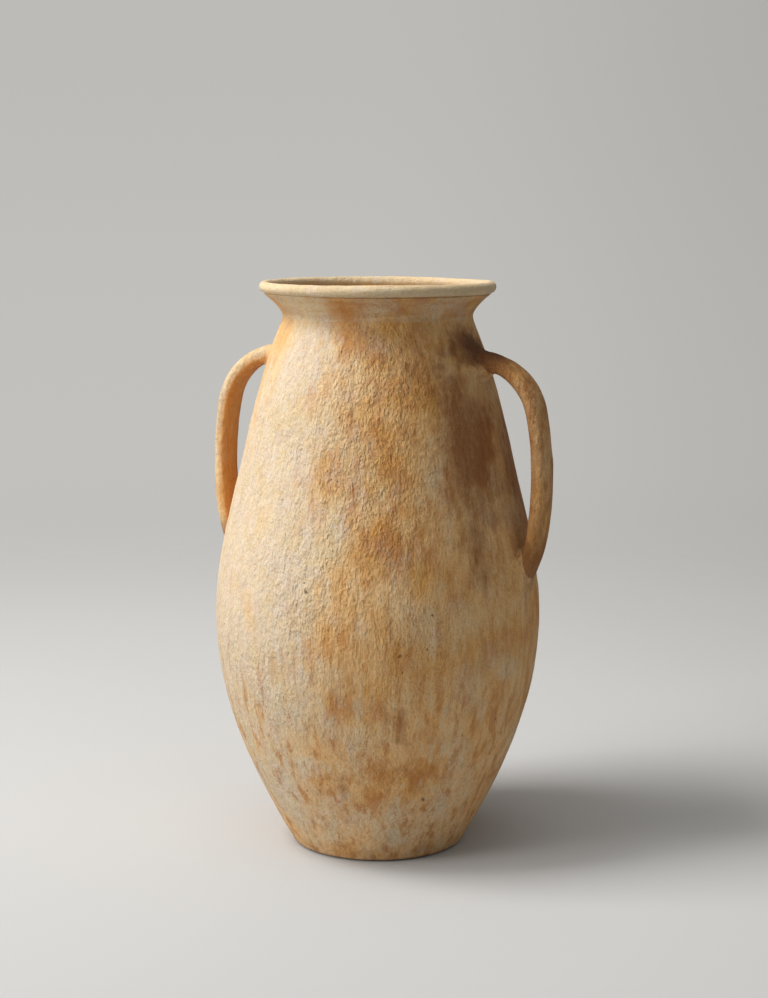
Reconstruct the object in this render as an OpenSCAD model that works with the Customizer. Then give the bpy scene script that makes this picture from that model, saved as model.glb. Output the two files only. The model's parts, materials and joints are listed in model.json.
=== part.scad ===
// Two-handled amphora built from thrown clay sections, strap handles and clay coils.
// Millimetres, +Z up. The origin is the centre of the foot's resting plane, and the
// handles lie along X. Neighbouring pieces meet face to face and never overlap.

/* [Body] */
// Height to the top of the rolled rim
body_h = 450; // [446:1:456]
// Radius of the body's outline where it would reach the floor
foot_r = 67.5; // [64:0.5:70]
// Radius at the widest part of the belly
belly_r = 129.4; // [126:0.2:133]
// Height of the widest part of the belly
belly_z = 185; // [175:1:195]
// Radius at the middle of the shoulder
shoulder_r = 107.8; // [105:0.2:110]
// Height of the middle of the shoulder
shoulder_z = 310; // [300:1:320]
// Radius at the crease under the collar
neck_r = 74.2; // [72:0.2:77]
// Height of the crease under the collar
neck_z = 422; // [418:1:424]
// Wall thickness, measured level
wall_t = 9; // [8:0.5:10]

/* [Rim] */
// Outer radius of the rolled rim
rim_r = 93.1; // [91:0.1:95]
// Radius of the rim coil's section
rim_coil_r = 4.4; // [4:0.1:4.8]

/* [Foot] */
// Thickness of the base slab
slab_t = 11; // [9:0.5:13]
// Rounding of the slab's lower edge
foot_edge_r = 2.5; // [1.5:0.5:3]
// Radius of the hollow under the slab
recess_r = 53; // [45:1:56]
// Depth of the hollow under the slab
recess_h = 1.5; // [1:0.5:2]

/* [Joints between sections] */
// Height of the seam between the two thrown body sections
seam_z = 150; // [140:1:155]
// Width of the ridge that keys one section into the next
key_w = 4; // [3:0.5:5]
// Height of that ridge
key_h = 2.5; // [2:0.5:3]
// Height of the coil pressed into the inside corner of the base
base_coil_h = 15; // [13:1:17]
// Height of the band pressed over the body seam inside
band_h = 16; // [14:1:18]
// Thickness of that band
band_t = 3; // [2:0.5:4]

/* [Handles] */
// Width of the strap
strap_w = 25; // [22:1:28]
// Thickness of the strap
strap_t = 14; // [12:1:15]
// Height of the strap's middle where it leaves the wall at the top
strap_z = 391; // [388:1:394]
// Depth of the scored seat that each handle end is pressed into
seat_d = 2; // [1:0.5:3]
// How far the luting coils stand out round a handle end
luting_w = 4; // [3:0.5:5]
// How far the luting coils climb from the wall
luting_h = 6; // [4:0.5:8]

/* [Hidden] */
$fn = 96;

// Stations of the body's outline: height, radius and slope of radius over height.
foot = [0, foot_r, 0.6];
belly = [belly_z, belly_r, 0];
shoulder = [shoulder_z, shoulder_r, -0.225];
neck = [neck_z, neck_r, -0.45];

// The collar flares from the crease to the seat of the rim coil.
collar_top_z = body_h - 1.6 * rim_coil_r;
collar_outer = [[neck_z, neck_r, 0.1], [collar_top_z, rim_r - 0.5 * rim_coil_r, 0.9]];
collar_inner = [[neck_z, neck_r - wall_t, 0.2], [collar_top_z, rim_r - 1.95 * rim_coil_r, 1]];

// Rings of points along each section.
slab_steps = 3;
lower_steps = 18;
upper_steps = 32;
collar_steps = 8;
arc_steps = 6;
lower_z = [for (i = [0:lower_steps]) slab_t + (seam_z - slab_t) * i / lower_steps];
upper_z = [for (i = [0:upper_steps]) seam_z + (neck_z - seam_z) * i / upper_steps];
collar_z = [for (i = [0:collar_steps]) neck_z + (collar_top_z - neck_z) * i / collar_steps];

// A strap starts inside the wall, rises a little and follows three tangent arcs,
// each given as a radius and the angle it turns down through.
strap_start_x = 80;
strap_rise = 6;
strap_arcs = [[50, 85], [262, 19], [127, 30]];
lap_step = 0.05;
lap_turn = 0.3;

// Cubic through two stations with their slopes.
function between(z, a, b) =
  let (span = b[0] - a[0], t = (z - a[0]) / span)
  (2 * t^3 - 3 * t^2 + 1) * a[1] + (t^3 - 2 * t^2 + t) * span * a[2]
  + (3 * t^2 - 2 * t^3) * b[1] + (t^3 - t^2) * span * b[2];

function body_r(z) =
  z < belly_z ? between(z, foot, belly)
  : z < shoulder_z ? between(z, belly, shoulder)
  : between(z, shoulder, neck);

function reversed(list) = [for (i = [len(list) - 1:-1:0]) list[i]];
function outline(heights, inset = 0) = [for (z = heights) [body_r(z) - inset, z]];
function curve(heights, ends) = [for (z = heights) [between(z, ends[0], ends[1]), z]];
function within(list, low, high) = [for (z = list) if (z > low && z < high) z];

// The ridge of a keyed seam, from outside to inside.
function key(z) =
  let (mid = body_r(z) - wall_t / 2)
  [[mid + key_w / 2, z], [mid, z + key_h], [mid - key_w / 2, z]];

// Smooth bend from a to b that leaves and arrives towards corner.
function bend(a, corner, b) =
  [for (i = [0:arc_steps]) let (t = i / arc_steps)
    (1 - t)^2 * a + 2 * t * (1 - t) * corner + t^2 * b];

// One thrown section of wall, keyed at both ends.
module wall_section(heights) {
  last = heights[len(heights) - 1];
  rotate_extrude()
    polygon(concat(
      outline(heights), key(last),
      reversed(outline(heights, wall_t)), reversed(key(heights[0]))
    ));
}

// Solid body of revolution inside the upper section's outer face, moved in by inset.
module body_core(inset) {
  rotate_extrude()
    polygon(concat([[0, seam_z]], outline(upper_z, inset), [[0, neck_z]]));
}

// Section of the strap with rounded sides, grown by extra all round.
module strap_section(extra) {
  thick = strap_t + 2 * extra;
  flat = strap_w - strap_t;
  square([thick, flat], center = true);
  for (side = [-1, 1]) translate([0, side * flat / 2]) circle(d = thick);
}

// Places its children at the centre of arc i of the strap on the +X side, so that the
// arc starts on the local X axis and turns clockwise about the local Z axis.
module at_arc(i) {
  if (i == 0)
    translate([strap_start_x, 0, strap_z])
      rotate([90, 0, 0])
        rotate(90 + strap_rise)
          translate([-strap_arcs[0][0], 0]) children();
  else
    at_arc(i - 1)
      rotate(-strap_arcs[i - 1][1])
        translate([strap_arcs[i - 1][0] - strap_arcs[i][0], 0]) children();
}

// Arc i of the strap, grown by extra all round and lengthened by lap degrees at each end.
module strap_arc(i, extra = 0, lap = 0) {
  turn = strap_arcs[i][1];
  at_arc(i)
    rotate(-turn - lap)
      rotate_extrude(angle = turn + 2 * lap)
        translate([strap_arcs[i][0], 0]) strap_section(extra);
}

// The middle arc is a hair thinner than the others and laps into both of them.
module strap() {
  strap_arc(0);
  strap_arc(1, -lap_step, lap_turn);
  strap_arc(2);
}

// A handle on the +X side, its ends cut to the scored seats in the wall.
module strap_handle() {
  difference() {
    strap();
    body_core(seat_d);
  }
}

// Clay pressed round the handle end that lies on arc i.
module luting(i) {
  difference() {
    intersection() {
      strap_arc(i, luting_w);
      body_core(-luting_h);
    }
    strap();
    body_core(0);
  }
}

// Flat disc of clay that closes the body. It stands on a ring round a shallow hollow.
module base_slab() {
  heights = [for (i = [1:slab_steps]) foot_edge_r + (slab_t - foot_edge_r) * i / slab_steps];
  edge_mid = body_r(foot_edge_r) - foot_edge_r;
  edge = [for (i = [0:arc_steps]) let (a = 90 * i / arc_steps - 90)
    [edge_mid + foot_edge_r * cos(a), foot_edge_r + foot_edge_r * sin(a)]];
  color("tan")
    rotate_extrude()
      polygon(concat(
        [[0, recess_h], [recess_r, recess_h], [recess_r + recess_h, 0]],
        edge, outline(heights), key(slab_t), [[0, slab_t]]
      ));
}

// Coil pressed into the corner between the slab and the wall.
module base_coil() {
  run = within(lower_z, 0, slab_t + base_coil_h + 1);
  outer = outline(run, wall_t);
  top = outer[len(outer) - 1];
  corner = outer[0];
  toe = corner - [base_coil_h, 0];
  color("peru")
    rotate_extrude()
      polygon(concat(outer, bend(top, corner + [-2, 2], toe)));
}

module lower_wall() {
  color("burlywood") wall_section(lower_z);
}

module upper_wall() {
  color("wheat")
    difference() {
      wall_section(upper_z);
      strap_handle();
      mirror([1, 0, 0]) strap_handle();
    }
}

// A flattened band of clay over the seam inside the wall, thickest at the seam.
module body_seam_band() {
  reach = band_h / 2 + 2;
  low = within(lower_z, seam_z - reach, seam_z);
  high = within(upper_z, seam_z - 1, seam_z + reach);
  outer = outline(concat(low, high), wall_t);
  foot_end = outer[0];
  top_end = outer[len(outer) - 1];
  crown = (foot_end + top_end) / 2 - [2 * band_t, 0];
  color("peru")
    rotate_extrude()
      polygon(concat(outer, bend(top_end, crown, foot_end)));
}

// Flared collar. A round groove in its top edge takes the rim coil.
module neck_collar() {
  color("burlywood")
    difference() {
      rotate_extrude()
        polygon(concat(
          curve(collar_z, collar_outer), reversed(curve(collar_z, collar_inner)),
          reversed(key(neck_z))
        ));
      rim_ring();
    }
}

module rim_ring() {
  rotate_extrude()
    translate([rim_r - rim_coil_r, body_h - rim_coil_r]) circle(r = rim_coil_r);
}

module rim_coil() {
  color("wheat") rim_ring();
}

module handle_right() {
  color("sandybrown") strap_handle();
}

module handle_left() {
  color("sandybrown") mirror([1, 0, 0]) strap_handle();
}

module luting_upper_right() {
  color("peru") luting(0);
}

module luting_lower_right() {
  color("peru") luting(2);
}

module luting_upper_left() {
  color("peru") mirror([1, 0, 0]) luting(0);
}

module luting_lower_left() {
  color("peru") mirror([1, 0, 0]) luting(2);
}

base_slab();
base_coil();
lower_wall();
upper_wall();
body_seam_band();
neck_collar();
rim_coil();
handle_left();
handle_right();
luting_upper_left();
luting_lower_left();
luting_upper_right();
luting_lower_right();
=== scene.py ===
import json
import math

import bpy
import numpy as np
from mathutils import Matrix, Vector
from mathutils.bvhtree import BVHTree


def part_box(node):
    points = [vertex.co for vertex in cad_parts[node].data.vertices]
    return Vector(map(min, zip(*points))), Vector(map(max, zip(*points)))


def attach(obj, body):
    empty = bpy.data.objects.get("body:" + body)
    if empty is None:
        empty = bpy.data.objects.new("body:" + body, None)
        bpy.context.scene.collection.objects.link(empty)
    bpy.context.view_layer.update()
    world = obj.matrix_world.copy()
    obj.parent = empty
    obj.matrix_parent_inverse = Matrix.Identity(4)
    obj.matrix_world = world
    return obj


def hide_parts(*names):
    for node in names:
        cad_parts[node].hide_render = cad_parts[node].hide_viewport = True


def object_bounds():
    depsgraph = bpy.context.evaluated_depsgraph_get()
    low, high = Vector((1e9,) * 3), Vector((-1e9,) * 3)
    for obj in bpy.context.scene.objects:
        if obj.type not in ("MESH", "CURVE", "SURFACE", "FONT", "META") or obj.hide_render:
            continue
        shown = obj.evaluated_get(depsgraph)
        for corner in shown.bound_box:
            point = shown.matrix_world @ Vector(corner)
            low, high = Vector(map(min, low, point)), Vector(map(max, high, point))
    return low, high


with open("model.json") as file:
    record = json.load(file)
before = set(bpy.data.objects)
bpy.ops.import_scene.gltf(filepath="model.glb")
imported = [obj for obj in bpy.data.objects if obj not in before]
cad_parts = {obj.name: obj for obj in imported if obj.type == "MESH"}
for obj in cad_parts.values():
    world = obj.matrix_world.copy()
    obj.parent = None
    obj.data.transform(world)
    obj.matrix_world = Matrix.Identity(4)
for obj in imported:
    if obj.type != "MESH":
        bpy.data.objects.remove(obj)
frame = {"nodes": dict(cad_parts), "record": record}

cad_low, cad_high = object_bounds()
NODES = frame["nodes"]
MM = 0.001

# ---------------------------------------------------------------- sizes from the frame

BODY_HEIGHT = cad_high.z
SEAM_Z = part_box("upper_wall")[0].z
SLAB_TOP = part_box("base_coil")[0].z
CREASE_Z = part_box("neck_collar")[0].z
COIL_LOW, COIL_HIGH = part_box("rim_coil")
COIL_RADIUS = (COIL_HIGH.z - COIL_LOW.z) / 2
RIM_RADIUS = COIL_HIGH.x
COLLAR_TOP = COIL_LOW.z + 1.6 * MM
LIP_TOP = COIL_LOW.z + 2.4 * MM

# The mount lies on the ring that the foot stands on, this far inside the foot's rounded edge.
MOUNT_TO_EDGE = 6.5 * MM
FOOT_RADIUS = Vector(frame["record"]["mounts"][0]["pos_m"]).x + MOUNT_TO_EDGE
FOOT_EDGE = 2.5 * MM
FOOT_UNDERCUT = 1.1 * MM
HOLLOW_RADIUS = 53 * MM
HOLLOW_DEPTH = 1.5 * MM

# The strap's arcs, each a radius and the degrees that it turns down through, and the place and
# the rise in degrees with which the strap leaves the wall.
STRAP_ARCS = ((50 * MM, 85), (262 * MM, 19), (127 * MM, 30))
STRAP_START = (80 * MM, 391 * MM)
STRAP_RISE = 6
STRAP_LOW, STRAP_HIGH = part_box("handle_right")
STRAP_WIDTH = STRAP_HIGH.y - STRAP_LOW.y
STRAP_THICKNESS = 14 * MM

# Fineness of the meshes.
AROUND = 448
SKIN_STEP = 1.8 * MM
INNER_STEP = 8 * MM
STATION_STEP = 0.9 * MM
SECTION_POINTS = 72
CREASE_ANGLE = 50


# ---------------------------------------------------------------- repeatable noise

def lattice(points, seed):
    """Smooth value noise between -1 and 1 at points given in lattice units."""
    cell = np.floor(points).astype(np.int64)
    part = points - cell
    ease = part ** 3 * (part * (part * 6 - 15) + 10)
    total = np.zeros(len(points))
    for corner in range(8):
        offset = np.array([(corner >> axis) & 1 for axis in range(3)])
        at = cell + offset
        mixed = at[:, 0] * 374761393 + at[:, 1] * 668265263 + at[:, 2] * 974634777 + seed * 1013
        mixed = (mixed ^ (mixed >> 13)) & 0xFFFFFFFF
        mixed = (mixed * 1274126177) & 0xFFFFFFFF
        value = ((mixed ^ (mixed >> 16)) & 0xFFFF) / 32767.5 - 1
        weight = np.prod(np.where(offset == 1, ease, 1 - ease), axis=1)
        total += value * weight
    return total


def noise(points, size, seed, tall=1.0):
    """Noise with features of the given size in metres, tall times longer along Z."""
    return lattice(points / (size * np.array((1, 1, tall))), seed)


# Layers of noise, each an amount and a size in millimetres, a seed, and how many times longer
# its features are along Z.
BODY_LAYERS = (
    (1.0, 115, 1, 1.5), (0.45, 46, 2, 1.0), (0.16, 17, 3, 1.0), (0.10, 7.5, 4, 1.4), (0.09, 3.6, 5, 1.6),
)
STRAP_LAYERS = ((0.45, 34, 31, 1.0), (0.20, 13, 32, 1.0), (0.12, 6, 33, 1.5), (0.08, 3.4, 34, 1.5))
JOINT_LAYERS = ((0.55, 8, 41, 1.0), (0.22, 3.4, 42, 1.0))
RIM_LAYERS = ((0.35, 28, 51, 1.0), (0.14, 8, 52, 1.0), (0.07, 3, 53, 1.0))
RIM_WAVE = ((0.35, 70, 54, 1.0),)
HOLLOW_RIPPLE = ((0.25, 9, 21, 1.0),)


def layered(points, layers):
    """The sum of several layers of noise at each point, in metres."""
    total = np.zeros(len(points))
    for amount, size, seed, tall in layers:
        total += amount * noise(points, size * MM, seed, tall)
    return total * MM


def unevenness(points):
    """How far the hand-built surface stands out at each point, in metres."""
    return layered(points, BODY_LAYERS)


# ---------------------------------------------------------------- profiles measured on the CAD

def tree_of(names):
    """Search tree over the meshes of several CAD nodes."""
    vertices = []
    faces = []
    for name in names:
        mesh = NODES[name].data
        start = len(vertices)
        vertices += [v.co.copy() for v in mesh.vertices]
        faces += [[start + i for i in p.vertices] for p in mesh.polygons]
    return BVHTree.FromPolygons(vertices, faces)


def radius_from_outside(tree, z):
    hit = tree.ray_cast(Vector((0, 1, z)), Vector((0, -1, 0)))[0]
    return hit.y


def radius_from_inside(tree, z):
    hit = tree.ray_cast(Vector((0, 0, z)), Vector((0, 1, 0)))[0]
    return hit.y


def smooth_curve(heights, radii):
    """A cubic through measured stations, for any height between them."""
    slopes = np.gradient(radii, heights)

    def radius(z):
        z = np.clip(z, heights[0], heights[-1])
        i = np.clip(np.searchsorted(heights, z) - 1, 0, len(heights) - 2)
        span = heights[i + 1] - heights[i]
        t = (z - heights[i]) / span
        near = (2 * t ** 3 - 3 * t ** 2 + 1) * radii[i] + (t ** 3 - 2 * t ** 2 + t) * span * slopes[i]
        far = (3 * t ** 2 - 2 * t ** 3) * radii[i + 1] + (t ** 3 - t ** 2) * span * slopes[i + 1]
        return near + far

    return radius


def measured(names, low, high, count, probe):
    """Radius over height of some CAD nodes, measured at count heights."""
    tree = tree_of(names)
    edge = 0.2 * MM
    heights = np.linspace(low, high, count)
    radii = np.array([probe(tree, min(max(z, low + edge), high - edge)) for z in heights])
    return smooth_curve(heights, radii)


WALLS = ["lower_wall", "upper_wall"]
body_outside = measured(WALLS, SLAB_TOP, CREASE_Z, 30, radius_from_outside)
body_inside = measured(WALLS, SLAB_TOP, CREASE_Z, 30, radius_from_inside)
collar_outside = measured(["neck_collar"], CREASE_Z, COLLAR_TOP, 9, radius_from_outside)
collar_inside = measured(["neck_collar"], CREASE_Z, COLLAR_TOP, 9, radius_from_inside)

# The crease is averaged over this reach up and down, which fades out over this span, and the
# collar swells under the rim coil.
CREASE_REACH = 3.5 * MM
CREASE_SPAN = 12 * MM
LIP_SWELL = 1.3 * MM
LIP_SPAN = 10 * MM


def outer_radius(z):
    """The outside of body and collar, with the crease between them softened."""
    z = np.asarray(z, float)

    def sharp(at):
        return np.where(at < CREASE_Z, body_outside(at), collar_outside(at))

    reach = CREASE_REACH * np.clip(1 - np.abs(z - CREASE_Z) / CREASE_SPAN, 0, 1)
    steps = (-1, -0.5, 0, 0.5, 1)
    lip = np.clip((z - LIP_TOP + LIP_SPAN) / LIP_SPAN, 0, 1)
    return sum(sharp(z + reach * s) for s in steps) / len(steps) + LIP_SWELL * lip ** 2


def inner_radius(z):
    """The inside of body and collar."""
    z = np.asarray(z, float)
    return np.where(z < CREASE_Z, body_inside(z), collar_inside(z))


# ---------------------------------------------------------------- mesh building

def mesh_object(name, points, faces):
    mesh = bpy.data.meshes.new(name)
    mesh.from_pydata(points.tolist(), [], faces)
    mesh.polygons.foreach_set("use_smooth", [True] * len(mesh.polygons))
    mesh.update()
    mesh.set_sharp_from_angle(angle=math.radians(CREASE_ANGLE))
    piece = bpy.data.objects.new(name, mesh)
    bpy.context.scene.collection.objects.link(piece)
    return piece


def grid_faces(rows, columns, closed_rows):
    """Quads over a grid whose columns wrap round, and whose rows wrap too if closed_rows."""
    last_row = rows if closed_rows else rows - 1
    r, c = np.meshgrid(np.arange(last_row), np.arange(columns), indexing="ij")
    r2 = (r + 1) % rows
    c2 = (c + 1) % columns
    quads = np.stack([r * columns + c, r * columns + c2, r2 * columns + c2, r2 * columns + c], -1)
    return quads.reshape(-1, 4).tolist()


def turned(profile, around=AROUND):
    """Points of a profile of (radius, height) rows turned about Z."""
    angle = np.linspace(0, 2 * math.pi, around, endpoint=False)
    radius, height = np.array(profile).T
    x = radius[:, None] * np.cos(angle)
    y = radius[:, None] * np.sin(angle)
    z = np.broadcast_to(height[:, None], x.shape)
    return np.stack([x, y, z], -1).reshape(-1, 3)


def moved_out(points, amount):
    """Points moved away from the Z axis by an amount in metres."""
    flat = points[:, :2]
    radius = np.linalg.norm(flat, axis=1, keepdims=True)
    out = points.copy()
    out[:, :2] = flat * (1 + amount[:, None] / np.maximum(radius, 1 * MM))
    return out


def heights_between(low, high, step):
    return np.linspace(low, high, max(2, round((high - low) / step) + 1))


def rows_of(radii, heights):
    return list(zip(radii, heights))


def bezier(a, corner, b, steps):
    """Points of a bend from a to b that leaves and arrives towards corner."""
    t = np.linspace(0, 1, steps)[:, None]
    return (1 - t) ** 2 * np.array(a) + 2 * t * (1 - t) * np.array(corner) + t ** 2 * np.array(b)


def finish_piece(piece, node):
    """Rides the piece on the one body, in place of its CAD node."""
    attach(piece, "root")
    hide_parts(node)


def ring_piece(name, node, profile, amount=1.0, around=AROUND):
    """A closed ring from a closed profile, pushed out by its own unevenness."""
    points = turned(profile, around)
    points = moved_out(points, unevenness(points) * amount)
    piece = mesh_object(name, points, grid_faces(len(profile), around, True))
    finish_piece(piece, node)
    return piece


# ---------------------------------------------------------------- body, foot and rim

def wall_piece(name, node, low, high):
    """A ring of wall: fine outer skin, coarser inner skin, flat level ends."""
    up = heights_between(low, high, SKIN_STEP)
    down = heights_between(low, high, INNER_STEP)[::-1]
    return ring_piece(name, node, rows_of(outer_radius(up), up) + rows_of(inner_radius(down), down))


def collar_piece():
    """The flared collar, which reaches a little higher outside than inside."""
    up = heights_between(CREASE_Z, LIP_TOP, 1.2 * MM)
    down = heights_between(CREASE_Z, COLLAR_TOP, 1.6 * MM)[::-1]
    profile = rows_of(outer_radius(up), up) + rows_of(inner_radius(down), down)
    return ring_piece("collar", "neck_collar", profile)


def foot_profile():
    """Outline of the slab from the middle of its hollow, round the foot and over its top."""
    top_radius = float(outer_radius(SLAB_TOP))
    middle = 4 * MM
    profile = [(r, HOLLOW_DEPTH) for r in np.linspace(middle, HOLLOW_RADIUS, 14)]
    ring = np.linspace(HOLLOW_RADIUS + HOLLOW_DEPTH, FOOT_RADIUS - 3 * MM, 8)
    profile += [(r, 0.0) for r in ring]
    profile += [(FOOT_RADIUS - 1.5 * MM, 0.5 * MM), (FOOT_RADIUS, FOOT_UNDERCUT)]
    for angle in np.radians(np.linspace(-90, -8, 9))[1:]:
        height = FOOT_EDGE + (FOOT_EDGE - FOOT_UNDERCUT) * math.sin(angle)
        profile.append((FOOT_RADIUS + FOOT_EDGE * math.cos(angle), height))
    side_radius, side_height = profile[-1]
    for t in np.linspace(0, 1, 6)[1:]:
        height = side_height + (SLAB_TOP - side_height) * t
        profile.append((side_radius + (top_radius - side_radius) * t, height))
    profile += [(r, SLAB_TOP) for r in np.linspace(top_radius - 3 * MM, middle, 20)]
    return profile


def slab_piece():
    """The disc under the body: rounded foot, hollow underneath, flat on top."""
    profile = foot_profile()
    points = turned(profile)
    past_hollow = np.linalg.norm(points[:, :2], axis=1) - HOLLOW_RADIUS
    points = moved_out(points, unevenness(points) * np.clip(past_hollow / (10 * MM), 0, 1))
    in_hollow = (np.linalg.norm(points[:, :2], axis=1) < HOLLOW_RADIUS) & (points[:, 2] < SLAB_TOP / 2)
    points[:, 2] += np.where(in_hollow, np.abs(layered(points, HOLLOW_RIPPLE)), 0)
    faces = grid_faces(len(profile), AROUND, False)
    below = len(points)
    above = below + 1
    last_ring = below - AROUND
    for i in range(AROUND):
        j = (i + 1) % AROUND
        faces.append([below, j, i])
        faces.append([above, last_ring + i, last_ring + j])
    points = np.vstack([points, [(0, 0, HOLLOW_DEPTH)], [(0, 0, SLAB_TOP)]])
    piece = mesh_object("foot_disc", points, faces)
    finish_piece(piece, "base_slab")
    return piece


def rim_piece():
    """The rolled rim: a round coil, a little wavy and uneven."""
    centre_r = RIM_RADIUS - COIL_RADIUS
    centre_z = BODY_HEIGHT - COIL_RADIUS
    section = np.radians(np.arange(0, 360, 10))
    profile = rows_of(centre_r + COIL_RADIUS * np.cos(section), centre_z + COIL_RADIUS * np.sin(section))
    points = turned(profile)
    level = np.concatenate([points[:, :2], np.zeros((len(points), 1))], 1)
    level /= np.linalg.norm(level, axis=1, keepdims=True)
    middle = level * centre_r + np.array((0, 0, centre_z))
    normal = (points - middle) / COIL_RADIUS
    push = layered(points, RIM_LAYERS) - 0.1 * MM
    points = moved_out(points + normal * push[:, None], unevenness(middle))
    points[:, 2] += layered(middle, RIM_WAVE)
    piece = mesh_object("rolled_rim", points, grid_faces(len(profile), AROUND, True))
    finish_piece(piece, "rim_coil")
    return piece


def corner_coil_piece():
    """The coil in the inside corner between slab and wall."""
    run = heights_between(SLAB_TOP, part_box("base_coil")[1].z, 3 * MM)
    outer = np.array(rows_of(body_inside(run), run))
    foot = outer[0]
    toe = foot - np.array((15 * MM, 0))
    corner = foot + np.array((-2 * MM, 2 * MM))
    profile = np.vstack([outer, bezier(outer[-1], corner, toe, 10)[1:]])
    return ring_piece("corner_coil", "base_coil", profile, 0.8, AROUND // 2)


def seam_band_piece():
    """The flattened band over the seam inside the wall, thickest in the middle."""
    low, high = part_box("body_seam_band")
    run = heights_between(low.z, high.z, 2.5 * MM)
    outer = np.array(rows_of(body_inside(run), run))
    crown = (outer[0] + outer[-1]) / 2 - np.array((6 * MM, 0))
    profile = np.vstack([outer, bezier(outer[-1], crown, outer[0], 12)[1:-1]])
    return ring_piece("seam_band", "body_seam_band", profile, 1.0, AROUND // 2)


# ---------------------------------------------------------------- strap handles

def strap_path():
    """Middle line of the strap in its own plane: points, and headings in radians."""
    x, z = STRAP_START
    heading = math.radians(STRAP_RISE)
    places = []
    headings = []
    for radius, turn in STRAP_ARCS:
        turn = math.radians(turn)
        centre_x = x + radius * math.sin(heading)
        centre_z = z - radius * math.cos(heading)
        stations = max(3, round(radius * turn / STATION_STEP))
        for a in heading - np.linspace(0, turn, stations)[:-1]:
            places.append((centre_x - radius * math.sin(a), centre_z + radius * math.cos(a)))
            headings.append(a)
        heading -= turn
        x = centre_x - radius * math.sin(heading)
        z = centre_z + radius * math.cos(heading)
    return np.array(places), np.array(headings)


def section_angles():
    return np.linspace(0, 2 * math.pi, SECTION_POINTS, endpoint=False)


def rounded(wave, power):
    """A sine or cosine bent towards a fuller or flatter section."""
    return np.sign(wave) * np.abs(wave) ** power


def strap_surface(side):
    """Grid of strap points, one row a station and one column an angle of the section.

    The strap widens at both ends, thins in the middle and has a web under its upper end. The
    left strap, side -1, is flatter on the face turned to the body than the right one."""
    places, headings = strap_path()
    along = np.linspace(0, 1, len(places))
    near_top = np.clip(1 - along / 0.16, 0, 1) ** 2
    near_foot = np.clip((along - 0.80) / 0.20, 0, 1) ** 2
    width = STRAP_WIDTH * (1 + 0.10 * near_top + 0.12 * near_foot)
    thick = STRAP_THICKNESS * (1 + 0.06 * near_top - 0.04 * np.sin(np.pi * along))
    web = 7 * MM * np.clip(1 - (along - 0.03) / 0.10, 0, 1) ** 1.6
    cosine = np.cos(section_angles())
    sine = np.sin(section_angles())
    inner_power = 2 / 3.4 if side < 0 else 2 / 2.5
    depth = rounded(sine, np.where(sine >= 0, 2 / 2.3, inner_power))
    off = depth[None, :] * thick[:, None] / 2 - np.clip(-sine, 0, 1) * web[:, None]
    x = places[:, 0:1] - np.sin(headings)[:, None] * off
    z = places[:, 1:2] + np.cos(headings)[:, None] * off
    y = rounded(cosine, 2 / 2.5)[None, :] * width[:, None] / 2
    return np.stack([side * x, side * y, z], -1)


def normals_of(grid):
    """Outward normals of a grid that wraps round its columns."""
    along = np.gradient(grid, axis=0)
    across = np.roll(grid, -1, axis=1) - np.roll(grid, 1, axis=1)
    normal = np.cross(across, along)
    normal /= np.maximum(np.linalg.norm(normal, axis=2, keepdims=True), 1e-12)
    middle = grid.mean(axis=1, keepdims=True)
    if ((grid - middle) * normal).sum() < 0:
        normal = -normal
    return normal


def uneven_strap(side):
    """The strap's grid with its unevenness, and the normals of the smooth strap."""
    grid = strap_surface(side)
    normal = normals_of(grid)
    push = layered(grid.reshape(-1, 3), STRAP_LAYERS).reshape(grid.shape[:2])
    return grid + normal * push[..., None], normal


def outside_body(grid):
    """How far each point lies outside the body's skin, level."""
    return np.linalg.norm(grid[..., :2], axis=-1) - outer_radius(grid[..., 2])


def mark_inner_face(piece, rows):
    """Attribute that is 1 on the face turned to the body and 0 on the outer face."""
    layer = piece.data.attributes.new("inner_face", "FLOAT", "POINT")
    inward = np.clip(0.5 - 3 * (0.1 + np.sin(section_angles())), 0, 1)
    layer.data.foreach_set("value", np.tile(inward, rows).astype(np.float32))


def strap_piece(name, node, side):
    """A strap handle whose ends run 3 mm into the body's skin."""
    grid, _ = uneven_strap(side)
    keep = np.where(outside_body(grid).max(axis=1) > -3 * MM)[0]
    grid = grid[keep[0]:keep[-1] + 1]
    rows, columns = grid.shape[:2]
    faces = grid_faces(rows, columns, False)
    faces.append(list(range(columns))[::-1])
    faces.append([(rows - 1) * columns + i for i in range(columns)])
    if side < 0:
        faces = [f[::-1] for f in faces]
    piece = mesh_object(name, grid.reshape(-1, 3), faces)
    finish_piece(piece, node)
    mark_inner_face(piece, rows)
    return piece


# ---------------------------------------------------------------- clay round the handle ends

def on_body(points):
    """Points moved level onto the body's skin."""
    radius = np.linalg.norm(points[..., :2], axis=-1, keepdims=True)
    out = points.copy()
    out[..., :2] = points[..., :2] / radius * outer_radius(points[..., 2])[..., None]
    return out


def body_normal(points):
    """Unit normals of the body's skin at points on it."""
    small = 0.5 * MM
    slope = (outer_radius(points[..., 2] + small) - outer_radius(points[..., 2] - small)) / (2 * small)
    level = points[..., :2] / np.linalg.norm(points[..., :2], axis=-1, keepdims=True)
    normal = np.concatenate([level, -slope[..., None]], -1)
    return normal / np.linalg.norm(normal, axis=-1, keepdims=True)


def leaving_rows(grid, upper):
    """The row at which each line along the strap leaves the body at its upper or lower end."""
    gap = outside_body(grid)
    rows, columns = gap.shape
    order = np.arange(rows) if upper else np.arange(rows)[::-1]
    return np.array([order[np.argmax(gap[order, c] > 0)] for c in range(columns)])


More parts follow.
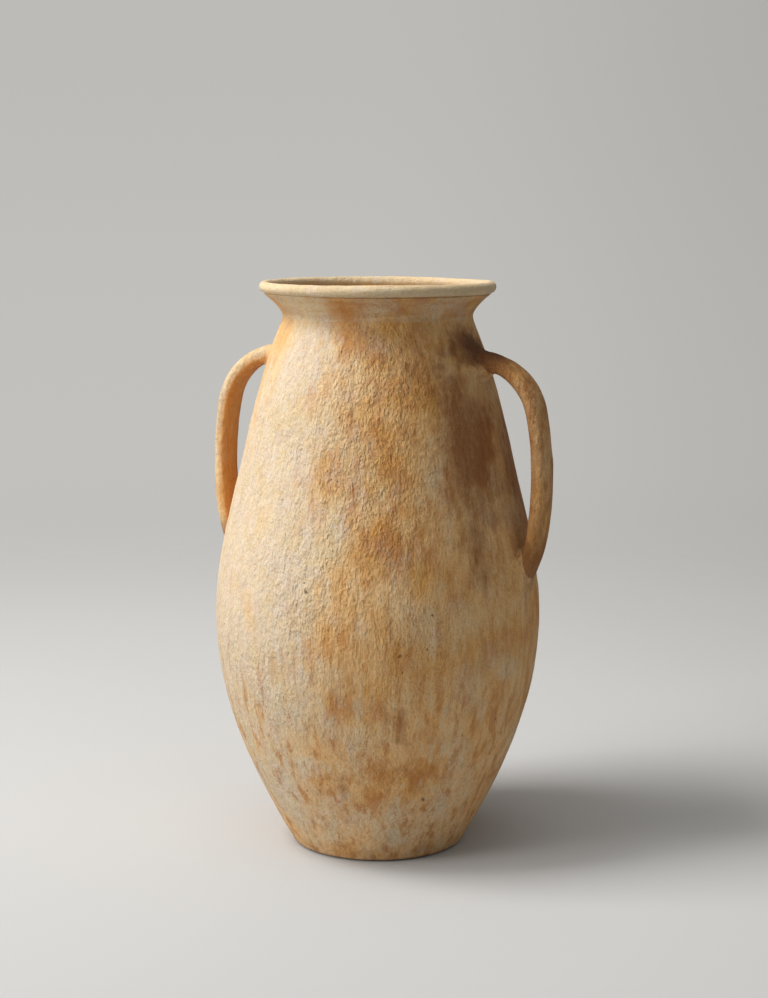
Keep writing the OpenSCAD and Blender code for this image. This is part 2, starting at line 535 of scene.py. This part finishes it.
def edge_on_wall(corner, outward, side, upper):
    """Where the clay runs out on the wall: further below the strap's lower end, and uneven."""
    wall = body_normal(corner)
    spread = outward - (outward * wall).sum(-1, keepdims=True) * wall
    spread /= np.maximum(np.linalg.norm(spread, axis=-1, keepdims=True), 1e-9)
    reach = 8 * MM if upper else 9 * MM + 9 * MM * np.clip(-outward[:, 2], 0, 1)
    angle = section_angles()
    reach = reach * (1 + 0.22 * np.sin(angle * 2 + 1.3 * side) + 0.14 * np.sin(angle * 5 + 2.0))
    edge = on_body(corner + spread * reach[:, None])
    return moved_out(edge, unevenness(edge))


def luting_piece(name, node, side, upper):
    """Clay worked into the corner between strap and wall: a fillet that runs out on both."""
    grid, normal = uneven_strap(side)
    columns = np.arange(SECTION_POINTS)
    leaving = leaving_rows(grid, upper)
    corner = grid[leaving, columns]
    outward = normal[leaving, columns]
    wall = body_normal(corner)
    climb = (9 * MM if upper else -11 * MM) / STATION_STEP
    climbed = np.clip(leaving + climb, 0, len(grid) - 1).astype(int)
    tuck = 0.35 * MM
    on_strap = grid[climbed, columns] - outward * tuck
    on_wall = edge_on_wall(corner, outward, side, upper)
    on_wall = on_wall - body_normal(on_wall) * tuck
    corner = moved_out(on_body(corner), unevenness(corner))

    # The clay is fullest under the strap's upper end and outside its lower end.
    wad = np.clip(-outward[:, 2], 0, 1) if upper else np.clip(-outward[:, 0] * side, 0, 1)
    fullness = (0.8 + 3.0 * wad) * MM
    crown = corner + (outward + wall) * fullness[:, None]
    lift = outward + wall
    lift = lift / np.linalg.norm(lift, axis=-1, keepdims=True)
    rows = []
    for t in np.linspace(0, 1, 17):
        bend = (1 - t) ** 2 * on_strap + 2 * t * (1 - t) * crown + t ** 2 * on_wall
        rows.append(bend + lift * (layered(bend, JOINT_LAYERS) * math.sin(math.pi * t))[:, None])
    rows.append(corner - (outward + wall) * (1.6 * MM))
    faces = grid_faces(len(rows), SECTION_POINTS, True)
    if (side > 0) == upper:
        faces = [f[::-1] for f in faces]
    piece = mesh_object(name, np.array(rows).reshape(-1, 3), faces)
    finish_piece(piece, node)
    return piece


# ---------------------------------------------------------------- colours and shader nodes

def srgb(red, green, blue):
    """A colour given as it would show on a screen, 0 to 255, as linear light."""
    out = []
    for value in (red, green, blue):
        v = value / 255
        out.append(v / 12.92 if v <= 0.04045 else ((v + 0.055) / 1.055) ** 2.4)
    return (*out, 1.0)


CREAM = srgb(214, 199, 167)
CHALK = srgb(214, 203, 186)
SAND = srgb(227, 188, 134)
OCHRE = srgb(219, 170, 108)
GOLD = srgb(214, 163, 87)
RUST = srgb(188, 129, 71)
AMBER = srgb(212, 146, 74)
BROWN = srgb(148, 97, 54)
# Colour of the painted shade round the handle ends and under the collar.
PAINTED_SHADE_DARK = srgb(108, 70, 42)
DARK = srgb(84, 54, 36)
ROSE = srgb(238, 197, 150)
SHADE = (0.66, 0.55, 0.42, 1.0)


class Shader:
    """Short calls for adding nodes to one node tree."""

    def __init__(self, tree):
        self.tree = tree
        self.place = self.node("ShaderNodeTexCoord").outputs["Object"]

    def node(self, kind, values=None, **settings):
        made = self.tree.nodes.new(kind)
        for key, value in settings.items():
            setattr(made, key, value)
        for key, value in (values or {}).items():
            if isinstance(value, bpy.types.NodeSocket):
                self.tree.links.new(value, made.inputs[key])
            else:
                made.inputs[key].default_value = value
        return made

    def math(self, operation, a, b=0.0):
        return self.node("ShaderNodeMath", {0: a, 1: b}, operation=operation).outputs[0]

    def mixed(self, a, share_a, b, share_b):
        """Two values added up, each times its share."""
        return self.math("ADD", self.math("MULTIPLY", a, share_a), self.math("MULTIPLY", b, share_b))

    def ramp(self, value, low, high, to_low=0.0, to_high=1.0):
        values = {"Value": value, "From Min": low, "From Max": high, "To Min": to_low, "To Max": to_high}
        return self.node("ShaderNodeMapRange", values, interpolation_type="SMOOTHSTEP").outputs[0]

    def stretched(self, x=1.0, y=1.0, z=1.0, offset=(0, 0, 0)):
        """The place of each point, scaled: a scale below 1 draws features out along that axis."""
        values = {"Vector": self.place, "Scale": (x, y, z), "Location": offset}
        return self.node("ShaderNodeMapping", values).outputs[0]

    def noise(self, size, detail=3.0, rough=0.5, vector=None):
        values = {"Vector": vector or self.place, "Scale": 1 / size, "Detail": detail, "Roughness": rough}
        return self.node("ShaderNodeTexNoise", values).outputs[0]

    def cells(self, size, vector):
        return self.node("ShaderNodeTexVoronoi", {"Vector": vector, "Scale": 1 / size}).outputs[0]

    def blend(self, amount, a, b, mode="MIX"):
        made = self.node("ShaderNodeMix", {0: amount, 6: a, 7: b}, data_type="RGBA", blend_type=mode)
        return made.outputs[2]

    def bump(self, height, depth, normal=None):
        values = {"Height": height, "Distance": depth}
        if normal is not None:
            values["Normal"] = normal
        return self.node("ShaderNodeBump", values).outputs[0]

    def vector(self, operation, a, b=None, output=0, **more):
        values = {0: a, **more}
        if b is not None:
            values[1] = b
        return self.node("ShaderNodeVectorMath", values, operation=operation).outputs[output]

    def height_of(self, vector):
        return self.node("ShaderNodeSeparateXYZ", {0: vector}).outputs[2]

    def warped(self, amount, size):
        """The place of each point, shifted about by noise."""
        swirl = self.node("ShaderNodeTexNoise", {"Vector": self.place, "Scale": 1 / size, "Detail": 3.0})
        shift = self.vector("SUBTRACT", swirl.outputs[1], (0.5, 0.5, 0.5))
        return self.vector("ADD", self.place, self.vector("SCALE", shift, Scale=amount))

    def patch(self, where, azimuth, height, wide, tall):
        """A soft-edged patch on the body's skin: 1 at its middle, 0 outside its size."""
        radius = float(outer_radius(height * MM))
        turn = math.radians(azimuth)
        centre = (radius * math.sin(turn), -radius * math.cos(turn), height * MM)
        size = (1 / (wide * MM), 1 / (wide * MM), 1 / (tall * MM))
        scaled = self.vector("MULTIPLY", self.vector("SUBTRACT", where, centre), size)
        return self.ramp(self.vector("LENGTH", scaled, output="Value"), 1.0, 0.2)

    def patches(self, where, places):
        """The strongest of several patches, each (azimuth, height, wide, tall, strength)."""
        total = None
        for azimuth, height, wide, tall, strength in places:
            one = self.math("MULTIPLY", self.patch(where, azimuth, height, wide, tall), strength)
            total = one if total is None else self.math("MAXIMUM", total, one)
        return total

    def group(self, tree):
        return self.node("ShaderNodeGroup", node_tree=tree).outputs


def new_material(name):
    """An empty node material, and its tree."""
    material = bpy.data.materials.new(name)
    material.use_nodes = True
    material.node_tree.nodes.clear()
    return material, material.node_tree


# ---------------------------------------------------------------- clay

# Patches on the skin: azimuth in degrees from the -Y side towards +X, height, width and height
# of the patch in millimetres, and strength. The first rows of each lie on the side that the
# camera sees.
PATCHES = {
    # Pale slip. The patch at azimuth -18 and height 388, just under the crease on the side towards the key
    # light, is also painted light over the shadow that the rim casts there.
    "pale": (
        (-34, 240, 140, 290, 1.0), (-18, 388, 50, 60, 1.0), (-21, 258, 40, 54, 1.0), (11, 262, 22, 30, 0.7),
        (-22, 188, 50, 48, 1.0), (-7, 84, 38, 20, 0.85), (59, 99, 24, 26, 0.45), (49, 200, 30, 46, 0.4),
        (76, 160, 16, 16, 0.5), (48, 290, 24, 60, 0.35), (-30, 60, 84, 60, 0.8), (24, 38, 90, 40, 0.5),
        (150, 330, 80, 110, 0.8), (205, 180, 80, 100, 0.8), (120, 110, 60, 60, 0.6),
        (255, 330, 70, 90, 0.9), (180, 60, 60, 34, 0.7), (280, 120, 60, 60, 0.8),
    ),
    "warm": (
        (20, 428, 60, 18, 1.0), (60, 432, 50, 16, 0.8), (27, 402, 44, 26, 1.0), (40, 372, 40, 36, 0.9),
        (1, 322, 30, 34, 0.7), (24, 318, 42, 60, 1.0), (32, 256, 38, 44, 1.0), (14, 290, 30, 30, 0.8),
        (-3, 206, 24, 30, 0.8), (32, 189, 13, 13, 1.0), (20, 146, 50, 30, 0.5), (36, 70, 70, 36, 0.6),
        (66, 190, 40, 60, 0.6), (-20, 130, 30, 24, 0.6),
        (170, 250, 80, 70, 0.8), (228, 300, 60, 80, 0.8), (110, 200, 60, 80, 0.7),
        (150, 60, 70, 50, 0.6), (265, 210, 50, 80, 0.8),
    ),
    # Browner patches: partly the clay's own tone, partly painted shade on the right shoulder under the
    # collar and on the side away from the key light.
    "brown_and_shade": (
        (54, 388, 40, 22, 0.6), (82, 400, 56, 30, 0.8), (68, 330, 54, 110, 1.0), (108, 300, 60, 140, 1.0),
        (94, 236, 40, 44, 0.6), (64, 250, 30, 60, 0.7), (34, 118, 11, 44, 0.7), (10, 72, 10, 26, 0.6),
        (46, 320, 24, 40, 0.4), (30, 200, 20, 26, 0.4),
        (200, 385, 60, 44, 0.7), (270, 236, 36, 40, 0.9), (160, 150, 30, 60, 0.6),
    ),
    # Painted shade round the handle ends and on the right shoulder under the collar, where shadow falls.
    "painted_shade": (
        (90, 397, 46, 18, 0.9), (92, 226, 14, 16, 0.5), (70, 400, 24, 12, 0.5), (56, 384, 12, 7, 0.4),
        (270, 393, 18, 14, 0.7), (268, 230, 14, 18, 0.8),
    ),
    "marks": (
        (56, 108, 4.5, 3, 1.0), (52, 105, 2.5, 2, 0.9), (60, 112, 2.5, 3, 0.8), (33, 186, 3, 3, 1.0),
        (46, 58, 1.8, 13, 0.8), (90, 152, 2.4, 7, 0.8), (70, 178, 2, 2, 0.9), (-12, 176, 2, 2, 0.8),
        (4, 100, 2, 2, 0.8), (-2, 226, 2, 2.5, 0.8), (74, 122, 2, 2, 0.8),
        (200, 240, 4, 3, 0.9), (160, 120, 2, 9, 0.8), (300, 150, 3, 3, 0.9), (130, 260, 3, 4, 0.8),
    ),
    "rough": (
        (18, 320, 84, 150, 1.0), (4, 220, 66, 90, 0.9), (30, 380, 70, 70, 1.0), (40, 180, 90, 110, 0.8),
        (24, 60, 120, 70, 0.6), (75, 280, 100, 200, 0.7),
        (180, 280, 100, 130, 1.0), (250, 200, 70, 80, 0.8),
    ),
}


def skin_fields():
    """Node group shared by the clays: where the patches lie and the slow changes of tone."""
    tree = bpy.data.node_groups.new("skin_fields", "ShaderNodeTree")
    s = Shader(tree)
    where = s.warped(0.03, 30 * MM)
    values = {name: s.patches(where, places) for name, places in PATCHES.items()}
    values["height"] = s.height_of(where)
    values["level"] = s.height_of(s.place)
    tall = (1, 1, 0.62)
    values["slip_noise"] = s.noise(34 * MM, 9.0, 0.66, s.stretched(*tall, (0.15, 0.75, 0.35)))
    values["warm_noise"] = s.noise(24 * MM, 9.0, 0.68, s.stretched(*tall, (0.62, 0.21, 0.48)))
    values["dark_noise"] = s.noise(15 * MM, 9.0, 0.72, s.stretched(*tall, (0.37, 0.94, 0.12)))
    values["brown_noise"] = s.math("ADD", s.math("MULTIPLY", values["dark_noise"], 0.55), 0.22)
    for name in values:
        tree.interface.new_socket(name, in_out="OUTPUT", socket_type="NodeSocketFloat")
    s.node("NodeGroupOutput", values)
    return tree


class Clay(Shader):
    """Layers of unglazed clay, some of them painted light and shade. Each layer takes the colour so far and
    returns the new one.
    """

    def __init__(self, tree, fields, level):
        super().__init__(tree)
        self.skin = self.group(fields)
        lines = (0.12, 0.12, 1) if level else (1, 1, 0.12)
        hairs = (0.08, 0.08, 1) if level else (1, 1, 0.08)
        self.runs = self.noise(5.0 * MM, 5.0, 0.68, self.stretched(*lines, (0.7, 0.2, 0.4)))
        self.hair = self.noise(1.5 * MM, 3.0, 0.6, self.stretched(*hairs))
        self.crumbs = self.cells(2.1 * MM, self.stretched(1, 1, 0.75))
        creases = self.noise(1.5 * MM, 5.0, 0.68, self.stretched(1, 1, 0.8))
        self.wrinkles = self.mixed(creases, 0.75, self.crumbs, 0.25)
        self.grit = self.noise(0.75 * MM, 2.0, 0.6)
        slip_rough = self.ramp(self.skin["slip_noise"], 0.36, 0.64, 0.0, 0.7)
        self.rough_area = self.math("MAXIMUM", slip_rough, self.skin["rough"])
        self.pits = self.pitting()

    def pitting(self):
        """Small scattered pits, and the single marks."""
        size = self.noise(17 * MM, 2.0, 0.5, self.stretched(1, 1, 1, (0.9, 0.1, 0.3)))
        size = self.ramp(size, 0.52, 0.78, 0.0, 0.10)
        pits = self.math("SUBTRACT", self.cells(8 * MM, self.stretched(1, 1, 0.8)), size)
        marks = self.ramp(self.skin["marks"], 0.1, 0.6)
        return self.math("MAXIMUM", self.ramp(pits, 0.04, 0.0), marks)

    def field(self, noise_name, patch_name, weight, shift, run_weight):
        """A tone's noise, shifted, with some of the brush runs and its patches added."""
        run_lift = self.math("SUBTRACT", self.runs, 0.5)
        total = self.math("ADD", self.skin[noise_name], shift)
        total = self.math("ADD", total, self.math("MULTIPLY", run_lift, run_weight))
        return self.math("ADD", total, self.math("MULTIPLY", self.skin[patch_name], weight))

    def ground(self, warmth):
        """Sand to ochre clay, rosier and lighter towards the foot, with golden and rust areas. The lighter
        foot is partly painted light that stands in for light bounced up from the floor.
        """
        dark_half = self.ramp(self.skin["dark_noise"], 0.36, 0.64)
        # Lighter, rosier clay towards the foot: partly its own tone, partly painted bounce light from the
        # floor.
        low = self.ramp(self.skin["height"], 0.17, 0.02, 0.0, 0.7)
        colour = self.blend(self.ramp(self.skin["warm_noise"], 0.34, 0.66), SAND, OCHRE)
        colour = self.blend(low, colour, self.blend(dark_half, ROSE, SAND))
        gold = self.ramp(self.field("warm_noise", "warm", 0.24, warmth, 0.15), 0.42, 0.84, 0.0, 0.9)
        colour = self.blend(gold, colour, self.blend(dark_half, GOLD, RUST))
        rust = self.ramp(self.field("dark_noise", "warm", 0.10, warmth, 0.35), 0.48, 0.74, 0.0, 0.55)
        return self.blend(rust, colour, RUST)

    def slip(self, colour, amount):
        """Worn cream slip: brushed on, rubbed off the hollows. Under the crease on the side towards the key
        light it is also painted light.
        """
        kept = self.ramp(self.mixed(self.wrinkles, 0.55, self.hair, 0.45), 0.34, 0.62, 0.6, 1.0)
        mask = self.ramp(self.field("slip_noise", "pale", 0.34, amount, -0.25), 0.43, 0.84, 0.0, 0.97)
        chalky = self.math("ADD", self.skin["dark_noise"], self.math("MULTIPLY", self.skin["pale"], 0.12))
        cream = self.blend(self.ramp(chalky, 0.48, 0.70), CREAM, CHALK)
        return self.blend(self.math("MULTIPLY", mask, kept), colour, cream)

    def drips(self, colour):
        """Runs of rust and cream down the lower half."""
        drips = self.noise(9 * MM, 5.0, 0.7, self.stretched(1, 1, 0.13, (0.1, 0.6, 0.8)))
        zone = self.ramp(self.skin["height"], 0.20, 0.12)
        rust = self.math("MULTIPLY", self.ramp(drips, 0.50, 0.64, 0.0, 0.75), zone)
        cream = self.math("MULTIPLY", self.ramp(drips, 0.47, 0.33, 0.0, 0.6), zone)
        return self.blend(cream, self.blend(rust, colour, RUST), CREAM)

    def brown_and_painted_shade(self, colour, darkness):
        """Browner patches, partly the clay's own tone and partly painted shade under the collar and on the
        side away from the key light, and painted shade round the handle ends.
        """
        brown_and_shade = self.ramp(self.field("brown_noise", "brown_and_shade", 0.46, darkness, 0.25), 0.58, 1.0, 0.0, 0.92)
        colour = self.blend(brown_and_shade, colour, BROWN)
        # Painted shade round the handle ends and under the collar, with a little noise at its edges.
        painted_shade = self.math("ADD", self.skin["painted_shade"], self.math("MULTIPLY", self.skin["dark_noise"], 0.6))
        return self.blend(self.ramp(painted_shade, 0.5, 1.2, 0.0, 0.85), colour, PAINTED_SHADE_DARK)

    def amber_and_bounce_lit_inner_face(self, colour):
        """Amber on the strap's face that is turned to the body: partly clay without its slip, partly
        painted warm light bounced off the body and painted shade.
        """
        face = self.node("ShaderNodeAttribute", attribute_name="inner_face").outputs["Fac"]
        amber_and_bounce = self.math("MULTIPLY", face, self.ramp(self.skin["dark_noise"], 0.3, 0.6, 0.65, 0.95))
        return self.blend(amber_and_bounce, colour, AMBER)

    def fine_tone(self, colour):
        """Streaks, darker hollows, specks, pits, and painted contact shade where the foot meets the floor.
        """
        streaks = self.mixed(self.runs, 0.6, self.hair, 0.4)
        colour = self.blend(self.ramp(streaks, 0.38, 0.66, 0.0, 0.34), colour, SHADE, "MULTIPLY")
        hollows = self.ramp(self.mixed(self.wrinkles, 0.7, self.grit, 0.3), 0.52, 0.34)
        hollows = self.math("MULTIPLY", hollows, self.ramp(self.rough_area, 0.0, 1.0, 0.28, 0.75))
        colour = self.blend(hollows, colour, SHADE, "MULTIPLY")
        colour = self.blend(self.ramp(self.grit, 0.62, 0.34, 0.0, 0.3), colour, SHADE, "MULTIPLY")
        specks = self.noise(2.6 * MM, 3.0, 0.7, self.stretched(1, 1, 0.8, (0.2, 0.7, 0.6)))
        colour = self.blend(self.ramp(specks, 0.64, 0.74, 0.0, 0.5), colour, BROWN)
        colour = self.blend(self.math("MULTIPLY", self.pits, 0.65), colour, DARK)
        # Painted contact shade: darker within 3.5 mm of the floor, where the foot meets it.
        return self.blend(self.ramp(self.skin["level"], 3.5 * MM, 0.5 * MM, 0.0, 0.6), colour, DARK)

    def relief(self, grain):
        """Bump: soft lumps, a crust that comes and goes, brush hairs and pits."""
        lumps = self.noise(5.0 * MM, 3.0, 0.55, self.stretched(1, 1, 0.75, (0.3, 0.3, 0.1)))
        fine_lumps = self.noise(1.8 * MM, 2.0, 0.55, self.stretched(1, 1, 0.45, (0.6, 0.1, 0.8)))
        crusty = self.noise(8 * MM, 4.0, 0.6, self.stretched(1, 1, 0.6, (0.4, 0.5, 0.2)))
        crusty = self.math("MULTIPLY", self.rough_area, self.ramp(crusty, 0.38, 0.62, 0.3, 1.0))
        crust = self.math("MULTIPLY", self.mixed(fine_lumps, 0.85, self.crumbs, 0.15), crusty)
        crust = self.math("ADD", crust, self.math("MULTIPLY", fine_lumps, 0.25))
        normal = self.bump(lumps, 1.5 * MM * grain)
        normal = self.bump(crust, 1.6 * MM * grain, normal)
        normal = self.bump(self.hair, 0.25 * MM, normal)
        return self.bump(self.pits, -0.5 * MM, normal)


def clay(name, fields, slip=0.0, warmth=0.0, darkness=0.0, grain=1.0, level=False, inner=False):
    """Unglazed clay under a worn cream slip.

    slip, warmth and darkness shift how much cream, ochre and darker tone show, and grain how
    coarse the skin is; the darker tone is partly painted shade. level turns the brush lines level
    instead of upright, and inner paints amber on the face that mark_inner_face marked: partly clay
    without its slip, partly painted bounce light and shade."""
    material, tree = new_material(name)
    c = Clay(tree, fields, level)
    colour = c.slip(c.ground(warmth), slip)
    colour = c.brown_and_painted_shade(c.drips(colour), darkness)
    if inner:
        # Painted bounce light and shade on the strap's face turned to the body, partly clay without its
        # slip.
        colour = c.amber_and_bounce_lit_inner_face(colour)
    values = {
        "Base Color": c.fine_tone(colour),
        "Normal": c.relief(grain),
        "Specular IOR Level": 0.28,
        "Roughness": c.ramp(c.skin["warm_noise"], 0.3, 0.7, 0.76, 0.94),
    }
    surface = c.node("ShaderNodeBsdfPrincipled", values).outputs[0]
    c.node("ShaderNodeOutputMaterial", {"Surface": surface})
    return material


def set_material(material, *pieces):
    for piece in pieces:
        piece.data.materials.clear()
        piece.data.materials.append(material)


# ---------------------------------------------------------------- stage, lights, camera

# The camera stands to the object's right of -Y, so that the +X handle comes towards it.
VIEW_AZIMUTH = 25.6
CAMERA_DISTANCE = 1.55
CAMERA_HEIGHT = 0.513
CAMERA_PITCH = 8.65
FOCAL_MM = 71.06
SENSOR_MM = 36
CAMERA_SHIFT = 0.006

# Square soft boxes: name, azimuth from the camera (to its left below 0), elevation, distance,
# size, power in watts and colour.
LIGHTS = (
    ("key", -80, 56, 2.2, 0.9, 42, (1.0, 0.985, 0.97)),
    ("side", -68, 18, 2.6, 1.4, 33, (1.0, 0.985, 0.97)),
    ("top", -60, 80, 2.4, 2.2, 15, (1.0, 0.98, 0.96)),
)
LIGHTS_AIM = (0, 0, 0.2)

# The floor is solid near the object and thins out to nothing at this distance.
FLOOR_RADII = (0.25, 0.5, 1.0, 2.0, 3.0, 4.5)
FLOOR_AROUND = 64
FLOOR_SOLID = 0.1
FLOOR_GONE = 2.2


def floor_paint():
    """Pale grey paint that thins to nothing far from the object."""
    material, tree = new_material("floor_paint")
    s = Shader(tree)
    distance = s.vector("LENGTH", s.place, output="Value")
    colour = s.blend(s.ramp(s.noise(0.5, 2.0), 0.3, 0.7), srgb(200, 200, 199), srgb(198, 198, 197))
    paint = s.node("ShaderNodeBsdfDiffuse", {"Color": colour, "Roughness": 0.5})
    clear = s.node("ShaderNodeBsdfTransparent")
    solid = s.ramp(distance, FLOOR_GONE, FLOOR_SOLID)
    both = s.node("ShaderNodeMixShader", {0: solid, 1: clear.outputs[0], 2: paint.outputs[0]})
    s.node("ShaderNodeOutputMaterial", {"Surface": both.outputs[0]})
    return material


def build_floor():
    """A round floor that thins out into the backdrop's tone far behind the object."""
    points = [(0, 0, 0)]
    for radius in FLOOR_RADII:
        for i in range(FLOOR_AROUND):
            a = 2 * math.pi * i / FLOOR_AROUND
            points.append((radius * math.cos(a), radius * math.sin(a), 0))
    faces = []
    for i in range(FLOOR_AROUND):
        j = (i + 1) % FLOOR_AROUND
        faces.append((0, 1 + i, 1 + j))
        for ring in range(len(FLOOR_RADII) - 1):
            a = 1 + ring * FLOOR_AROUND
            b = a + FLOOR_AROUND
            faces.append((a + i, b + i, b + j, a + j))
    floor = mesh_object("floor", np.array(points, float), faces)
    set_material(floor_paint(), floor)


def build_world():
    """Backdrop tone for what the camera sees past the floor, dimmer soft light for the rest."""
    world = bpy.data.worlds.new("studio")
    bpy.context.scene.world = world
    world.use_nodes = True
    world.node_tree.nodes.clear()
    s = Shader(world.node_tree)
    direction = s.node("ShaderNodeTexCoord").outputs["Generated"]
    a = math.radians(VIEW_AZIMUTH)
    sideways = s.vector("DOT_PRODUCT", direction, (math.cos(a), math.sin(a), 0), "Value")
    tone = s.blend(s.ramp(sideways, -0.02, 0.25), srgb(194, 193, 189), srgb(179, 178, 174))
    strength = s.ramp(s.height_of(direction), -0.12, 0.10, 1.0, 0.93)
    seen = s.node("ShaderNodeBackground", {0: tone, 1: strength})
    soft = s.node("ShaderNodeBackground", {0: srgb(240, 239, 236), 1: 0.30})
    ray = s.node("ShaderNodeLightPath").outputs["Is Camera Ray"]
    mix = s.node("ShaderNodeMixShader", {0: ray, 1: soft.outputs[0], 2: seen.outputs[0]})
    s.node("ShaderNodeOutputWorld", {"Surface": mix.outputs[0]})


def area_light(name, azimuth, elevation, distance, size, power, colour):
    data = bpy.data.lights.new(name, "AREA")
    data.shape = "SQUARE"
    data.size = size
    data.energy = power
    data.color = colour
    light = bpy.data.objects.new(name, data)
    a = math.radians(VIEW_AZIMUTH + azimuth)
    e = math.radians(elevation)
    away = Vector((math.sin(a) * math.cos(e), -math.cos(a) * math.cos(e), math.sin(e)))
    light.location = Vector(LIGHTS_AIM) + away * distance
    light.rotation_mode = "QUATERNION"
    light.rotation_quaternion = away.to_track_quat("Z", "Y")
    bpy.context.scene.collection.objects.link(light)


def build_camera():
    data = bpy.data.cameras.new("camera")
    data.sensor_width = SENSOR_MM
    data.sensor_fit = "AUTO"
    data.lens = FOCAL_MM
    data.dof.use_dof = False
    data.shift_x = CAMERA_SHIFT
    data.clip_start = 0.05
    data.clip_end = 50
    camera = bpy.data.objects.new("camera", data)
    a = math.radians(VIEW_AZIMUTH)
    camera.location = (math.sin(a) * CAMERA_DISTANCE, -math.cos(a) * CAMERA_DISTANCE, CAMERA_HEIGHT)
    camera.rotation_euler = (math.radians(90 - CAMERA_PITCH), 0, a)
    bpy.context.scene.collection.objects.link(camera)
    bpy.context.scene.camera = camera


# ---------------------------------------------------------------- assembly

lower_skin = wall_piece("lower_body", "lower_wall", SLAB_TOP, SEAM_Z)
upper_skin = wall_piece("upper_body", "upper_wall", SEAM_Z, CREASE_Z)
slab = slab_piece()
collar = collar_piece()
rim = rim_piece()
corner_coil = corner_coil_piece()
seam_band = seam_band_piece()
right_strap = strap_piece("strap_right", "handle_right", 1)
left_strap = strap_piece("strap_left", "handle_left", -1)
joints = [
    luting_piece("clay_upper_right", "luting_upper_right", 1, True),
    luting_piece("clay_lower_right", "luting_lower_right", 1, False),
    luting_piece("clay_upper_left", "luting_upper_left", -1, True),
    luting_piece("clay_lower_left", "luting_lower_left", -1, False),
]

fields = skin_fields()
set_material(clay("slipped_clay", fields), lower_skin, upper_skin, slab)
# The collar's clay is paler, with less of the darker tone: partly its own colour, partly painted light that
# stands in for light bounced up onto the downward-facing flare.
set_material(clay("collar_clay", fields, 0.09, 0.12, -0.3, grain=0.6, level=True), collar)
set_material(clay("rim_clay", fields, 0.46, -0.12, grain=0.5, level=True), rim)
# The right strap's clay is darker than the left strap's: partly its own tone, partly painted shade on the
# strap that faces away from the key light.
set_material(clay("left_strap_clay", fields, 0.16, 0.0, 0.06, inner=True), left_strap)
set_material(clay("right_strap_clay", fields, -0.06, darkness=0.28), right_strap)
set_material(clay("joint_clay", fields, darkness=0.05, grain=1.3), *joints)
set_material(clay("raw_clay", fields, -0.2, 0.05, grain=0.6, level=True), corner_coil, seam_band)

build_floor()
build_world()
for light in LIGHTS:
    area_light(*light)
build_camera()
bpy.context.scene.view_settings.view_transform = "Standard"
